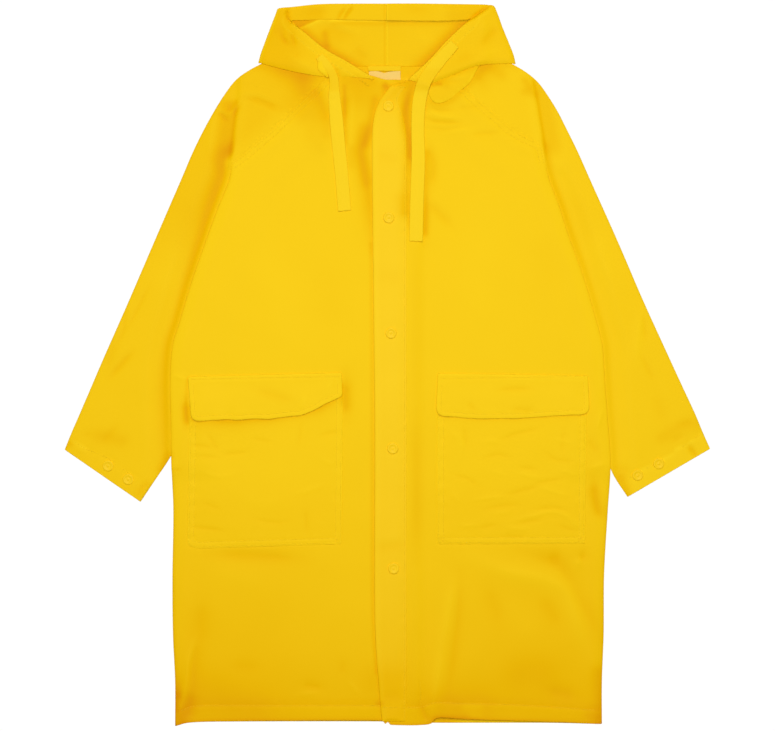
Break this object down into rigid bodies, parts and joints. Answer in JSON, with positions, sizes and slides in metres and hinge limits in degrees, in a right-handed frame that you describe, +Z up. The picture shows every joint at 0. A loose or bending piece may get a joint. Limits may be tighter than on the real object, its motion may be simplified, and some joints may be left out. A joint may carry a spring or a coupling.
{
  "type": "kids raincoat",
  "caption": "Child's hooded raincoat in smooth coated cloth, lying flat and fastened, with raglan sleeves, flap pockets, a snap placket and flat ties at the hood.",
  "frame": {"origin": "centre of the bounding box's bottom face, on the surface that the coat lies on", "axes": "+Y from the hem up to the hood, +X to the wearer's left, +Z up from the surface, out of the coat's front"},
  "size_m": [0.722, 0.8086, 0.0098],
  "materials": {
    "coated_cloth": "smooth soft-sheen coated cloth",
    "snap": "satin moulded plastic",
    "tape": "folded and stitched coated cloth",
    "label": "plain woven, bare"
  },
  "bodies": {
    "root": {"back": "coated_cloth", "front_right": "coated_cloth", "front_left": "coated_cloth", "sleeve_right": "coated_cloth", "sleeve_left": "coated_cloth", "hood_right": "coated_cloth", "hood_left": "coated_cloth", "placket": "coated_cloth", "pocket_right": "coated_cloth", "pocket_left": "coated_cloth", "flap_right": "coated_cloth", "flap_left": "coated_cloth", "placket_snap_1": "snap", "placket_snap_2": "snap", "placket_snap_3": "snap", "placket_snap_4": "snap", "placket_snap_5": "snap", "cuff_snap_right_1": "snap", "cuff_snap_right_2": "snap", "cuff_snap_left_1": "snap", "cuff_snap_left_2": "snap", "tie_right": "tape", "tie_left": "tape", "hanger_loop": "tape", "neck_label": "label"}
  },
  "joints": []
}
